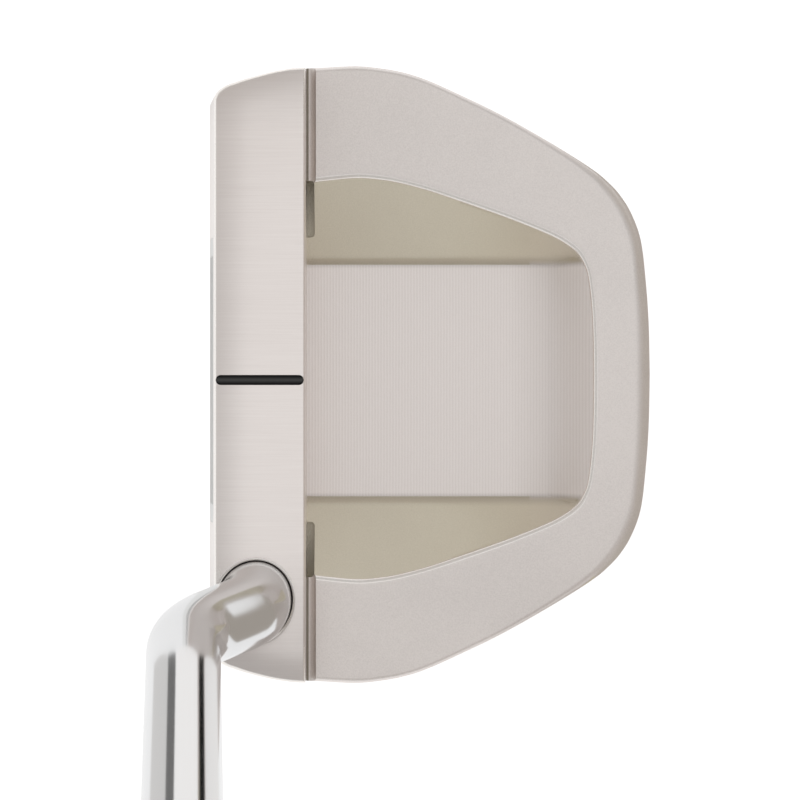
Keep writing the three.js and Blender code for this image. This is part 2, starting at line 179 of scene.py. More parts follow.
# ------------------------------------------------------------------ materials
class Look:
    """One material and its node tree."""

    def __init__(self, name, color, rough, metal):
        self.mat = bpy.data.materials.new(name)
        self.mat.use_nodes = True
        self.tree = self.mat.node_tree
        self.bsdf = self.tree.nodes["Principled BSDF"]
        self.set(Base_Color=(*color, 1), Roughness=rough, Metallic=metal)
        self.coord = self.tree.nodes.new("ShaderNodeTexCoord").outputs["Object"]

    def set(self, **values):
        for key, value in values.items():
            self.bsdf.inputs[key.replace("_", " ")].default_value = value

    def to(self, socket, name):
        self.tree.links.new(socket, self.bsdf.inputs[name])

    def node(self, kind, inputs=(), **settings):
        """New node; inputs are (name or index, value or socket) pairs."""
        n = self.tree.nodes.new(kind)
        for key, value in settings.items():
            setattr(n, key, value)
        for key, value in inputs:
            if isinstance(value, bpy.types.NodeSocket):
                self.tree.links.new(value, n.inputs[key])
            else:
                n.inputs[key].default_value = value
        return n

    def scaled(self, scale, shift=(0, 0, 0), turn=(0, 0, 0)):
        pairs = [("Vector", self.coord), ("Scale", scale), ("Location", shift), ("Rotation", turn)]
        return self.node("ShaderNodeMapping", pairs).outputs[0]

    def noise(self, scale, detail=2.0, vector=None):
        pairs = [("Scale", scale), ("Detail", detail), ("Vector", vector or self.coord)]
        return self.node("ShaderNodeTexNoise", pairs).outputs["Fac"]

    def wave(self, vector, distortion=0.0, **settings):
        pairs = [("Scale", 1.0), ("Distortion", distortion), ("Detail", 1.0), ("Vector", vector)]
        return self.node("ShaderNodeTexWave", pairs, **settings).outputs["Fac"]

    def cells(self, scale):
        pairs = [("Scale", scale), ("Vector", self.coord)]
        return self.node("ShaderNodeTexVoronoi", pairs).outputs["Distance"]

    def xyz(self):
        return self.node("ShaderNodeSeparateXYZ", [(0, self.coord)]).outputs

    def ramp(self, fac, stops):
        r = self.node("ShaderNodeValToRGB", [("Fac", fac)])
        els = r.color_ramp.elements
        while len(els) < len(stops):
            els.new(0.5)
        for e, (pos, col) in zip(els, stops):
            e.position = pos
            e.color = (*col, 1)
        return r.outputs["Color"]

    def range(self, fac, a, b, c, d):
        pairs = [("From Min", a), ("From Max", b), ("To Min", c), ("To Max", d), ("Value", fac)]
        return self.node("ShaderNodeMapRange", pairs).outputs[0]

    def darkened(self, color, share):
        return self.node("ShaderNodeVectorMath", [(0, color), ("Scale", share)], operation="SCALE").outputs[0]

    def math(self, how, a, b=0.0):
        return self.node("ShaderNodeMath", [(0, a), (1, b)], operation=how).outputs[0]

    def blend(self, a, b, share):
        return self.math("ADD", self.math("MULTIPLY", a, share), self.math("MULTIPLY", b, 1 - share))

    def bump(self, height, strength, distance, after=None):
        pairs = [("Strength", strength), ("Distance", distance), ("Height", height)]
        if after:
            pairs.append(("Normal", after))
        return self.node("ShaderNodeBump", pairs).outputs["Normal"]


def grainy(name, a, b, rough, metal=1.0, fine=5200, bump=0.16, depth=0.00004, cloud=42):
    """Fine grain and faint cloudiness in colour and gloss; a and b are the two ends of the colour."""
    n = Look(name, a, rough, metal)
    g = n.noise(fine)
    c = n.noise(cloud, 3.0)
    n.mottle = n.blend(g, c, 0.45)
    n.to(n.ramp(n.mottle, [(0.36, a), (0.64, b)]), "Base Color")
    n.to(n.range(c, 0.3, 0.7, rough - 0.02, rough + 0.03), "Roughness")
    n.normal = n.bump(g, bump, depth)
    n.to(n.normal, "Normal")
    return n


satin = grainy("head_satin", (0.78, 0.733, 0.707), (0.90, 0.85, 0.82), 0.38, metal=0.86, bump=0.42).mat
# rounded edges: polished and glossier, and a lighter metal than the satin flange, which is a painted
# highlight
edge = grainy("head_edge_polish_highlight", (0.90, 0.865, 0.83), (0.96, 0.925, 0.89), 0.22, metal=0.95, bump=0.1).mat
# dark metal for the channel behind the bar and the relief slots: painted shade in these narrow recesses
groove = grainy("head_groove_shade", (0.27, 0.24, 0.20), (0.34, 0.31, 0.26), 0.5, metal=0.8).mat


def foot_shade(n, color, beyond=None):
    """Painted shade along the foot of the side walls, where they meet the floor, with the colour beyond it,
    if one is given, further out.
    """
    x = n.math("ABSOLUTE", n.xyz()["X"])
    mask = n.range(x, 0.0172, 0.0179, 0.0, 1.0)
    if beyond:
        color = n.node("ShaderNodeMix", [(0, mask), (6, color), (7, beyond)], data_type="RGBA").outputs[2]
    dark = n.math("MAXIMUM", n.range(x, 0.0168, 0.0173, 1.0, 0.8), n.range(x, 0.0175, 0.0188, 0.8, 1.0))
    n.to(n.darkened(color, dark), "Base Color")
    return mask


WALL_STOPS = [(0.36, (0.75, 0.70, 0.58)), (0.64, (0.83, 0.78, 0.655))]

# Side walls: coarser blasting, with cutter scallops left in the corners next to the bar.
wall_n = grainy("head_blasted", (0.75, 0.70, 0.58), (0.83, 0.78, 0.655), 0.5, metal=0.8, bump=0.6)
scallop = wall_n.scaled((900, 900, 900), turn=(0, 0, 0.5))
scallop = wall_n.wave(scallop, 0.4, wave_type="BANDS", bands_direction="Y")
# painted shade along the foot of the walls, where they meet the floor
foot_shade(wall_n, wall_n.ramp(wall_n.mottle, WALL_STOPS))
xyz = wall_n.xyz()
near = wall_n.math("MULTIPLY", wall_n.range(xyz["Y"], -0.0176, -0.0142, 1.0, 0.0),
                   wall_n.range(xyz["Z"], 0.0045, 0.0075, 1.0, 0.0))
wall_n.to(wall_n.bump(wall_n.math("MULTIPLY", scallop, near), 0.5, 0.00006, wall_n.normal), "Normal")
wall = wall_n.mat

# Brushed bar: fine scratches running from the face to the back.
brushed_n = Look("head_brushed", (0.83, 0.785, 0.76), 0.34, 0.9)
lines = brushed_n.noise(1.0, 3.0, brushed_n.scaled((5200, 90, 90)))
cloud = brushed_n.noise(38, 3.0)
BRUSHED_STOPS = [(0.3, (0.90, 0.84, 0.81)), (0.7, (0.97, 0.915, 0.885))]
tone = brushed_n.ramp(brushed_n.blend(lines, cloud, 0.55), BRUSHED_STOPS)
# painted shade: darker towards the heel end, the toe end and the front edge, standing in for dark reflections
# and the shaft's shadow
spot = brushed_n.xyz()
at_heel = brushed_n.range(spot["X"], 0.025, 0.041, 1.0, 0.78)
at_toe = brushed_n.range(spot["X"], -0.043, -0.036, 0.88, 1.0)
at_front = brushed_n.range(spot["Y"], -0.031, -0.024, 0.96, 1.0)
painted_edge_shade = brushed_n.math("MULTIPLY", brushed_n.math("MULTIPLY", at_heel, at_toe), at_front)
brushed_n.to(brushed_n.darkened(tone, painted_edge_shade), "Base Color")
scratched = brushed_n.bump(lines, 0.16, 0.00003)
brushed_n.to(brushed_n.bump(brushed_n.noise(5200), 0.12, 0.00004, scratched), "Normal")
brushed = brushed_n.mat

# Milled pocket floor: fine parallel cutter lines from toe to heel.
milled_n = Look("head_milled", (0.84, 0.79, 0.765), 0.4, 0.85)
wave = milled_n.wave(milled_n.scaled((700, 700, 700)), 0.6, wave_type="BANDS", bands_direction="Y")
grain = milled_n.noise(5200)
FLOOR_STOPS = [(0.2, (0.89, 0.83, 0.80)), (0.8, (0.97, 0.915, 0.89))]
floor_color = milled_n.ramp(milled_n.blend(wave, grain, 0.5), FLOOR_STOPS)
wall_color = milled_n.ramp(milled_n.blend(grain, milled_n.noise(42, 3.0), 0.45), WALL_STOPS)
# floor colour, then the wall colour beyond, with painted shade along the foot of the walls
mask = foot_shade(milled_n, floor_color, wall_color)
lines = milled_n.math("MULTIPLY", wave, milled_n.math("SUBTRACT", 1.0, mask))
milled_n.to(milled_n.bump(lines, 0.25, 0.00004, milled_n.bump(grain, 0.4, 0.00004)), "Normal")
# metallic falls off up the rear ramp, except on the side walls
on_ramp = milled_n.range(milled_n.xyz()["Y"], 0.012, 0.019, 0.85, 0.0)
milled_n.to(milled_n.math("MAXIMUM", on_ramp, milled_n.math("MULTIPLY", mask, 0.8)), "Metallic")
milled = milled_n.mat

chrome_n = Look("shaft_chrome", (0.80, 0.80, 0.805), 0.06, 1.0)
chrome_n.to(chrome_n.range(chrome_n.noise(90, 3.0), 0.3, 0.7, 0.13, 0.16), "Roughness")
chrome = chrome_n.mat

# Line paint: thicker along the middle of its groove, with a painted sheen there: a lighter colour along the
# middle.
paint_n = grainy("line_black", (0.004, 0.004, 0.0045), (0.009, 0.009, 0.009), 0.5,
                 metal=0.0, fine=1600, bump=0.12)
paint_n.set(Specular_IOR_Level=0.25)
middle = paint_n.range(paint_n.math("ABSOLUTE", paint_n.xyz()["X"]), 0.0001, 0.00045, 0.85, 0.0)
middle = paint_n.math("ADD", middle, paint_n.math("MULTIPLY", paint_n.mottle, 0.2))
paint_n.to(paint_n.ramp(middle, [(0.1, (0.003, 0.003, 0.003)), (1.0, (0.055, 0.055, 0.054))]), "Base Color")
paint = paint_n.mat

# Face insert: milled rings about a point near its middle.
alloy_n = grainy("insert_milled", (0.66, 0.66, 0.65), (0.74, 0.74, 0.73), 0.34)
arcs = alloy_n.scaled((1500, 1500, 1500), (0, 0, -15.0))
arcs = alloy_n.wave(arcs, 0.3, wave_type="RINGS", rings_direction="Y")
alloy_n.to(alloy_n.bump(arcs, 0.2, 0.00003, alloy_n.normal), "Normal")


def turned_look(name, x, y):
    """Lathe-turned steel: rings about the axis at x, y (in mm)."""
    n = grainy(name, (0.33, 0.325, 0.315), (0.40, 0.39, 0.38), 0.3)
    k = 2600
    centred = n.scaled((k, k, k), (-x * MM * k, -y * MM * k, 0))
    rings = n.wave(centred, 0.2, wave_type="RINGS", rings_direction="Z")
    n.to(n.bump(rings, 0.22, 0.00003, n.normal), "Normal")
    return n.mat


# Rubber skin: a fine pebbled texture over a faint mottling.
rubber_n = grainy("grip_rubber", (0.016, 0.016, 0.017), (0.026, 0.026, 0.027), 0.62,
                  metal=0.0, fine=2400, bump=0.1)
rubber_n.to(rubber_n.bump(rubber_n.cells(1150.0), 0.55, 0.00018, rubber_n.normal), "Normal")
rubber = rubber_n.mat
moulded = grainy("grip_moulded", (0.018, 0.018, 0.019), (0.028, 0.028, 0.029), 0.5,
                 metal=0.0, fine=1800, bump=0.14).mat

foam_n = grainy("grip_foam", (0.03, 0.031, 0.034), (0.05, 0.051, 0.055), 0.9, metal=0.0)
foam_n.to(foam_n.bump(foam_n.cells(1500.0), 0.7, 0.0002), "Normal")

tape_n = grainy("grip_tape", (0.66, 0.6, 0.46), (0.75, 0.69, 0.55), 0.8, metal=0.0)
weave = tape_n.wave(tape_n.scaled((2200, 2200, 2200)), 0.0, wave_type="BANDS", bands_direction="Z")
tape_n.to(tape_n.bump(weave, 0.3, 0.00006, tape_n.normal), "Normal")

pad = grainy("insert_pad", (0.05, 0.051, 0.054), (0.075, 0.076, 0.08), 0.75,
             metal=0.0, fine=1500, bump=0.3).mat
glue = grainy("epoxy", (0.62, 0.54, 0.36), (0.7, 0.62, 0.44), 0.35, metal=0.0, fine=700, bump=0.25).mat
nylon = grainy("nylon", (0.78, 0.765, 0.71), (0.84, 0.825, 0.77), 0.5, metal=0.0, fine=1500, bump=0.1).mat
film = grainy("band_film", (0.15, 0.155, 0.165), (0.19, 0.195, 0.205), 0.3,
              metal=0.0, fine=900, bump=0.04).mat


# ------------------------------------------------------------------ head outlines
# heel halves of the flange's outline, the pocket's rim and the floor's edge, front to back
OUT = [(45.3, -20.0), (45.5, -16.2), (45.75, -11.0), (45.45, -7.3), (44.8, -3.74), (43.65, -0.18),
       (41.25, 5.15), (38.65, 10.5), (35.7, 15.8), (32.5, 21.15), (30.15, 24.7), (28.65, 26.5),
       (26.8, 28.26), (24.05, 30.0), (20.0, 31.46), (14.0, 32.2), (7.5, 32.65), (0.0, 32.8)]
RIM_IN = [(28.7, -20.0), (29.3, -15.0), (29.67, -10.7), (29.45, -7.5), (29.0, -4.7), (27.96, -0.63),
          (26.76, 3.08), (25.5, 6.78), (24.2, 10.5), (22.8, 14.2), (21.25, 17.9), (20.05, 20.1),
          (18.55, 21.97), (16.6, 23.1), (14.4, 23.65), (10.0, 24.1), (5.0, 24.3), (0.0, 24.35)]
FLOOR_HALF, FLOOR_END = 17.35, 17.5
STATIONS = (-20.0, -15.0, -11.0, -8.0, -5.2, -2.0, 1.5, 5.0, 8.0, 10.8, 13.4, 15.1)
FLAT = [(FLOOR_HALF, y) for y in STATIONS]
FLAT += [(17.15, 16.4), (16.3, 17.2), (13.8, 17.45), (9.2, 17.5), (4.7, 17.5), (0.0, 17.5)]
OUT_X, RIM_X = -0.85, -0.25
RIM_FALL = 0.42
PER = 6


def closed(half, shift, front=36):
    """Whole outline from the heel's front round the back to the toe's front, closed along the front."""
    side = catmull(half, PER)
    line = [(x + shift, y) for x, y in side] + [(-x + shift, y) for x, y in side[-2::-1]]
    (x0, y0), (x1, _) = line[-1], line[0]
    return line + [(x0 + (x1 - x0) * k / front, y0) for k in range(1, front)]


outer, rim, flat = closed(OUT, OUT_X), closed(RIM_IN, RIM_X), closed(FLAT, 0.0)
HALF = (len(OUT) - 1) * PER


def back_share(i):
    """0 along the straight sides, 1 round the back of the head."""
    k = i if i <= HALF else 2 * HALF - i
    t = min(1.0, max(0.0, (k / PER - 7.5) / 6.0))
    return t * t * (3 - 2 * t)


def mix(a, b, t):
    return [(p[0] + (q[0] - p[0]) * t, p[1] + (q[1] - p[1]) * t) for p, q in zip(a, b)]


def towards(a, b, dist):
    """Each point of a, moved by that many mm towards its partner in b."""
    out = []
    for i, (p, q) in enumerate(zip(a, b)):
        d = math.hypot(q[0] - p[0], q[1] - p[1]) or 1.0
        m = dist(i) if callable(dist) else dist
        out.append((p[0] + (q[0] - p[0]) * m / d, p[1] + (q[1] - p[1]) * m / d))
    return out


def lift(line, z):
    return [(x, y, z(i) if callable(z) else z) for i, (x, y) in enumerate(line)]


def sole_z(y):
    """Height of the flange's sole: a hair above the bar's, so that they share no plane, then rising."""
    return max(0.01, (y - 8.0) * 0.096)


def radius(i):
    """Radius of the flange's top outside edge: softer round the back."""
    return 0.75 + 1.35 * back_share(i)


RIM_SIDE = catmull(RIM_IN, PER)
RIM_BACK = RIM_SIDE[10 * PER:]


def other(points, value, k):
    """The other coordinate of a line of points where coordinate k has this value."""
    for p, q in zip(points, points[1:]):
        if min(p[k], q[k]) <= value <= max(p[k], q[k]) and p[k] != q[k]:
            return p[1 - k] + (q[1 - k] - p[1 - k]) * (value - p[k]) / (q[k] - p[k])
    return min((points[0], points[-1]), key=lambda p: abs(p[k] - value))[1 - k]


def pocket_rise(x, y, s):
    """Share of the pocket's depth climbed here: the higher of side wall, steep at its foot, and rear ramp."""
    out = abs(x) - FLOOR_HALF
    wide = other(RIM_SIDE, y, 1) + (RIM_X if x > 0 else -RIM_X) - FLOOR_HALF
    foot = min(1.0, max(0.0, out))
    wall = max(0.0, 0.12 * foot * foot * (3 - 2 * foot) + 0.88 * min(1.0, out / max(0.4, wide)))
    back = other(RIM_BACK, min(abs(x), FLOOR_HALF), 0)
    ramp = min(1.0, max(0.0, (y - FLOOR_END) / (back - FLOOR_END))) ** 2.1
    top = max(wall, ramp)
    k = 0.16 * (1 - s) * min(1.0, 4 * top)
    return min(1.0, top + max(0.0, k - abs(wall - ramp)) ** 2 / (4 * k + 1e-9))


def flange():
    """Rear flange with its open pocket, closed loops from the sole over the rim to the floor."""
    bm = bmesh.new()
    loops = []
    sole_r = 3.0
    for k in (1.0, 0.75, 0.5, 0.25, 0.0):
        a = k * math.pi / 2
        line = towards(outer, flat, sole_r * (1 - math.cos(a)))
        loops.append([(x, y, sole_z(y) + sole_r * (1 - math.sin(a))) for x, y in line])
    loops.append(lift(outer, 8.0))
    for k in range(9):
        a = k / 8 * math.pi / 2
        line = towards(outer, rim, lambda i, a=a: radius(i) * (1 - math.cos(a)))
        loops.append(lift(line, lambda i, a=a: RIM - radius(i) * (1 - math.sin(a))))
    shoulder = towards(outer, rim, radius)
    inner = towards(rim, outer, 1.3)
    for k in range(1, 7):
        loops.append(lift(mix(shoulder, inner, k / 6), RIM))
    # rounded inner edge, then the wall down to the flat floor
    fall = ((0.95, 0.004), (0.7, 0.02), (0.48, 0.055), (0.3, 0.115), (0.14, 0.205), (0.03, 0.32),
            (0.0, RIM_FALL))
    for d, z in fall:
        loops.append(lift(towards(rim, outer, d), RIM - z))
    for s in [1 - k / 26 for k in range(1, 24)] + [0.1 * (1 - k / 8) for k in range(9)]:
        line = mix(flat, rim, s)
        deep = RIM - RIM_FALL - FLOOR
        loops.append([(x, y, FLOOR + deep * pocket_rise(x, y, s) * (s > 0)) for x, y in line])
    rows = strip(bm, loops)
    bm.faces.new(rows[-1])
    # sole: flat in front, rising towards the back, in strips from heel to toe
    low = rows[0]
    last = 2 * HALF
    bm.faces.new([low[0], low[1], low[last - 1]] + low[last:])
    for i in range(1, HALF):
        j = last - i
        meet = i + 1 >= j - 1
        bm.faces.new([low[i], low[i + 1], low[j]] if meet else [low[i], low[i + 1], low[j - 1], low[j]])
    return obj_from(bm, "head", None, nodes=None, angle=40)


TOE = [(-41.2, -31.9), (-42.0, -31.55), (-42.5, -31.0), (-43.1, -30.0), (-43.5, -28.8), (-43.9, -27.6),
       (-44.5, -25.3), (-45.07, -23.0), (-45.5, -20.6), (-45.6, -19.5), (-45.65, -18.2)]
HEEL = [(39.9, -31.9), (40.7, -31.55), (41.25, -31.0), (41.85, -30.0), (42.25, -28.8), (42.65, -27.6),
        (43.25, -25.3), (43.75, -23.0), (44.1, -20.6), (44.2, -19.5), (44.25, -18.2)]
END_FRONT = TOE[0][1]
N_END = 4
N_LONG = 150
TOE_LINE, HEEL_LINE = catmull(TOE, N_END), catmull(HEEL, N_END)
ROWS = len(TOE_LINE)


def end_x(line, y):
    """Where an end of the bar stands at this y."""
    for (x0, y0), (x1, y1) in zip(line, line[1:]):
        if y0 <= y <= y1:
            return x0 + (x1 - x0) * (y - y0) / (y1 - y0)
    return line[0][0] if y < line[0][1] else line[-1][0]


def crown(x, y):
    """How far the bar's top has fallen here: pillowed along the front and both ends, flat behind."""
    f = max(0.0, 1 - (y - FACE_TOP) / 5.2)
    t = max(0.0, 1 - (x - end_x(TOE_LINE, y)) / 4.4)
    h = max(0.0, 1 - (end_x(HEEL_LINE, y) - x) / 4.4)
    return 0.56 * math.hypot(f * f, 0.8 * t * t, h * h)


def bar_loop(z, grow):
    """Plan outline of the bar at one height; grow is how far it stands inside the full outline."""
    front = max(LEADING, FACE_TOP + (LEADING - FACE_TOP) * (FACE_HIGH - z) / (FACE_HIGH - FACE_LOW))
    middle = (front + BAR_BACK) / 2

    def fit(p, side):
        x, y = p
        y = front + (y - END_FRONT) / (BAR_BACK - END_FRONT) * (BAR_BACK - front)
        back = y > middle
        y += (-0.55 if back else 1.0) * grow * min(1, abs(y - middle) / 3.0)
        return (x - side * grow, y, z)
    a = [fit(p, -1) for p in TOE_LINE]
    b = [fit(p, 1) for p in HEEL_LINE]

    def across(p, q):
        return [tuple(p[k] + (q[k] - p[k]) * t / N_LONG for k in range(3)) for t in range(1, N_LONG)]
    return a + across(a[-1], b[-1]) + b[::-1] + across(b[0], a[0])


def bar():
    """Front bar: closed loops up its sides and a crowned grid on top."""
    bm = bmesh.new()
    loops = []
    sole_r, top_r = 2.6, 0.42
    for k in (1.0, 0.7, 0.4, 0.0):
        a = k * math.pi / 2
        loops.append(bar_loop(sole_r * (1 - math.sin(a)), sole_r * (1 - math.cos(a))))
    loops.append(bar_loop(12.0, 0.0))
    for k in range(9):
        a = k / 8 * math.pi / 2
        edge_loop = bar_loop(BAR_TOP - top_r * (1 - math.sin(a)), top_r * (1 - math.cos(a)))
        loops.append([(x, y, z - crown(x, y)) for x, y, z in edge_loop])
    rows = strip(bm, loops)
    last = rows[-1]
    toe = last[:ROWS]
    back = last[ROWS - 1:ROWS + N_LONG]
    heel = last[ROWS + N_LONG - 1:2 * ROWS + N_LONG - 1][::-1]
    front = (last[2 * ROWS + N_LONG - 2:] + [last[0]])[::-1]
    # the top is a grid stretched between the four edges
    grid = [toe]
    for i in range(1, N_LONG):
        u = i / N_LONG
        col = [front[i]]
        for j in range(1, ROWS - 1):
            v = j / (ROWS - 1)
            x, y = [((1 - v) * front[i].co[k] + v * back[i].co[k] + (1 - u) * toe[j].co[k] + u * heel[j].co[k]
                     - (1 - u) * ((1 - v) * toe[0].co[k] + v * toe[-1].co[k])
                     - u * ((1 - v) * heel[0].co[k] + v * heel[-1].co[k])) / MM for k in (0, 1)]
            col.append(bm.verts.new((x * MM, y * MM, (BAR_TOP - crown(x, y)) * MM)))
        grid.append(col + [back[i]])
    grid.append(heel)
    for a, b in zip(grid, grid[1:]):
        for j in range(ROWS - 1):
            bm.faces.new((a[j], b[j], b[j + 1], a[j + 1]))
    bm.faces.new(rows[0])
    return obj_from(bm, "bar", None, nodes=None, angle=40)


# ------------------------------------------------------------------ shaft centre line
BORE = Vector((32.4, -25.6, BAR_TOP))
TIP_DIR = Vector((0.38, -0.12, 1)).normalized()
LOW = BORE + TIP_DIR * 3.2
HIGH = Vector((36.9, -35.3, 40.3))
UP = Vector((0.364, 0.036, 1)).normalized()
TIP_DEPTH = 13.0
TIP = BORE - TIP_DIR * TIP_DEPTH


def turn_to(direction, origin):
    """Matrix that lays +Z along direction, starting at origin."""
    turn = Vector((0, 0, 1)).rotation_difference(direction)
    return Matrix.Translation(origin * MM) @ turn.to_matrix().to_4x4()


# ------------------------------------------------------------------ head
head = flange()
boolean(head, bar(), "UNION")

# shallow channel behind the bar, sloping up to the flange; it and the slots reach a hair into the bar
BACK_CUT = BAR_BACK - 0.0005
section = [(BACK_CUT, RIM + 2), (BACK_CUT, RIM - 0.8), (BAR_BACK + 0.35, RIM - 0.8)]
section += arc(BAR_BACK + 0.35, RIM + 0.35, 1.15, -90, -17, 8) + [(BAR_BACK + 1.46, RIM + 2)]
bm = bmesh.new()
strip(bm, [[(x, y, z) for y, z in section] for x in (-47.0, 46.0)], ends=True)
boolean(head, bm)

# relief slots where the side walls meet the bar
for lo, hi in ((-29.6, -21.3), (21.1, 29.2)):
    y0, y1, r = BACK_CUT, BAR_BACK + 1.2, 0.6
    plan = [(lo, y0), (hi, y0)] + arc(hi - r, y1 - r, r, 0, 90, 6) + arc(lo + r, y1 - r, r, 90, 180, 6)
    boolean(head, prism(plan, 6.3, RIM + 1))

# sight line groove, rounded at both ends
LINE_R = 0.74
plan = arc(0, BAR_BACK - 0.15 - LINE_R, LINE_R, 0, 180, 16)
plan += arc(0, FACE_TOP + 0.25 + LINE_R, LINE_R, 180, 360, 16)
boolean(head, prism(plan, BAR_TOP - 0.75, BAR_TOP + 2))

# bore with a rounded mouth
BORE_R, MOUTH = 5.5, 0.6
boolean(head, turned([(0, -0.5), (BORE_R, -0.5), (BORE_R, 30), (0, 30)], 96, turn_to(TIP_DIR, TIP)))


def mouth_loop(depth, grow, above=0.0):
    """The bore's outline on the bar's top, sunk by depth and grown outwards."""
    lean = Vector((TIP_DIR.x, TIP_DIR.y, 0)).normalized()
    side = Vector((-lean.y, lean.x, 0))
    centre = BORE - TIP_DIR * (depth / TIP_DIR.z)
    out = []
    for u, v in arc(0, 0, BORE_R + grow, 0, 360, 96)[:-1]:
        p = centre + lean * (u / TIP_DIR.z) + side * v
        out.append((p.x, p.y, BAR_TOP - crown(p.x, p.y) - depth + above))
    return out


mouth = [mouth_loop(2.2, -0.02)]
for k in range(9):
    a = k / 8 * math.pi / 2
    mouth.append(mouth_loop(MOUTH * (1 - math.sin(a)), MOUTH * (1 - math.cos(a))))
mouth.append(mouth_loop(0, MOUTH, 1.5))
bm = bmesh.new()
strip(bm, mouth, ends=True)
boolean(head, bm)

# pocket for the insert, square to the lofted face
LOFT = math.atan2(FACE_TOP - LEADING, FACE_HIGH - FACE_LOW)
ON_FACE = Matrix.Translation(Vector((0, LEADING, FACE_LOW)) * MM)
ON_FACE = ON_FACE @ Matrix.Rotation(-LOFT, 4, "X") @ Matrix.Rotation(math.pi / 2, 4, "X")


def plate(gap):
    """The insert's outline in the plane of the face, moved in by gap."""
    half, low, high, r = 21 - gap, 1.2 + gap, 17.6 - gap, 3 - gap
    return (arc(half - r, low + r, r, -90, 0, 12) + arc(half - r, high - r, r, 0, 90, 12)
            + arc(-half + r, high - r, r, 90, 180, 12) + arc(-half + r, low + r, r, 180, 270, 12))


boolean(head, prism(plate(0), -2.8, 3, ON_FACE))

# bores for the sole weights and the pockets milled into the sole
WEIGHTS = {"toe": (-38.15, -8.5), "heel": (36.45, -8.5)}
for x, y in WEIGHTS.values():
    place = Matrix.Translation((x * MM, y * MM, 0))
    boolean(head, turned([(0, -1), (6.1, -1), (5.95, 0), (5.52, 0.45), (5.52, 8.55), (0, 8.55)], 64, place))


def round_path(points, r):
    """Outline with every corner rounded."""
    out = []
    n = len(points)
    for i in range(n):
        p, a, b = (Vector(points[j]) for j in (i, i - 1, (i + 1) % n))
        u, v = (a - p).normalized(), (b - p).normalized()
        reach = min(r, 0.45 * (a - p).length, 0.45 * (b - p).length)
        s, e = p + u * reach, p + v * reach
        out += [tuple(s.lerp(p, t).lerp(p.lerp(e, t), t)) for t in (0, 0.2, 0.4, 0.6, 0.8, 1)]
    return out


LEG = [(32.6, 2.4), (39.8, 2.4), (38.2, 6), (29.5, 21.6), (26.6, 24.8), (23.6, 25.6), (25.2, 20)]
for side in (-1, 1):
    boolean(head, prism(round_path([(side * x + OUT_X, y) for x, y in LEG], 1.6), -1, 9.8))
boolean(head, prism(round_path([(-36, -26.4), (16, -26.4), (16, -20.8), (-36, -20.8)], 2.0), -1, 14))

finish_mesh(head, 32)
for m in (satin, wall, brushed, milled, groove, edge):
    head.data.materials.append(m)
SATIN, WALL, BRUSHED, MILLED, GROOVE, EDGE = range(6)
# each face's surface follows from where it lies on the head
for p in head.data.polygons:
    x, y, z = (c / MM for c in p.center)
    behind = y - BAR_BACK
    from_bore = (Vector((x, y, z)) - BORE).cross(TIP_DIR).length
    if behind < 0.002:
        at_side = y < FACE_TOP + 0.6 or abs(x) > 39
        rolled = BAR_TOP - 0.95 < z and 0.1 < p.normal.z < 0.95 and at_side
        mouthed = 5.55 < from_bore < 6.9 and 0.05 < p.normal.z < 0.985 and z > BAR_TOP - 1.6
        # rolled edges and the bore's mouth: polish and a painted highlight
        p.material_index = EDGE if rolled or mouthed else BRUSHED
    elif behind < 1.5 and 6.2 < z < RIM - 0.02 and abs(p.normal.x) < 0.5:
        in_channel = abs(x) > 28.6 and z > RIM - 0.9
        # painted shade: the steep walls of the slots and the channel's foot get the dark groove metal
        if in_channel and behind < 0.45 or p.normal.z < 0.2:
            p.material_index = GROOVE
        else:
            p.material_index = SATIN if in_channel else WALL
    # the pocket rim's rounded inner edge: polish and a painted highlight
    elif z > RIM - RIM_FALL and p.normal.z < 0.995 and min(math.hypot(x - u, y - v) for u, v in rim) < 1.3:
        p.material_index = EDGE
    elif z > RIM - 0.45 or z < FLOOR - 0.05:
        p.material_index = SATIN
    elif y < 24.5 and abs(x) < 21.8 and (z < FLOOR + 0.01 or y > 15.1 or abs(x) < FLOOR_HALF - 0.01):
        p.material_index = MILLED
    elif abs(x) < 30.5 and y < 24.4:
        p.material_index = WALL
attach(head, "root")
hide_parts("head_body")


# ------------------------------------------------------------------ sight line paint
bm = bmesh.new()
h = LINE_R - 0.02
ys = [FACE_TOP + 0.27 + (BAR_BACK - 0.17 - FACE_TOP - 0.27) * k / 90 for k in range(91)]
cols = []
for y in ys:
    d = min(y - ys[0], ys[-1] - y, h)
    w = max(0.03, math.sqrt(max(0.0, h * h - (h - d) ** 2)))
    top = BAR_TOP - crown(0, y) - 0.07
    cols.append([(w * u, y, top - 0.16 * (u * u) ** 2) for u in (-1, -0.8, -0.5, 0, 0.5, 0.8, 1)]
                + [(w, y, BAR_TOP - 0.74), (-w, y, BAR_TOP - 0.74)])
strip(bm, cols, ends=True)
obj_from(bm, "sight_line", paint, ["sight_line_paint"], 50)

# ------------------------------------------------------------------ face insert
blank = prism(plate(0.04), -2.2, -0.02, ON_FACE)
insert = obj_from(blank, "insert_plate", None, nodes=None)
bm = bmesh.new()
GROOVES = 12
for k in range(GROOVES):
    z = 2.9 + k * 13.0 / (GROOVES - 1)
    plan = [(x, z + w) for x, w in arc(18.1, 0, 0.28, -90, 90, 6) + arc(-18.1, 0, 0.28, 90, 270, 6)]
    strip(bm, [[(x, y, d) for x, y in plan] for d in (-0.4, 1)], ends=True)
bmesh.ops.transform(bm, matrix=ON_FACE, verts=bm.verts)
boolean(insert, bm)
finish_mesh(insert, 30)
insert.data.materials.append(alloy_n.mat)
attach(insert, "root")
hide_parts("face_insert")

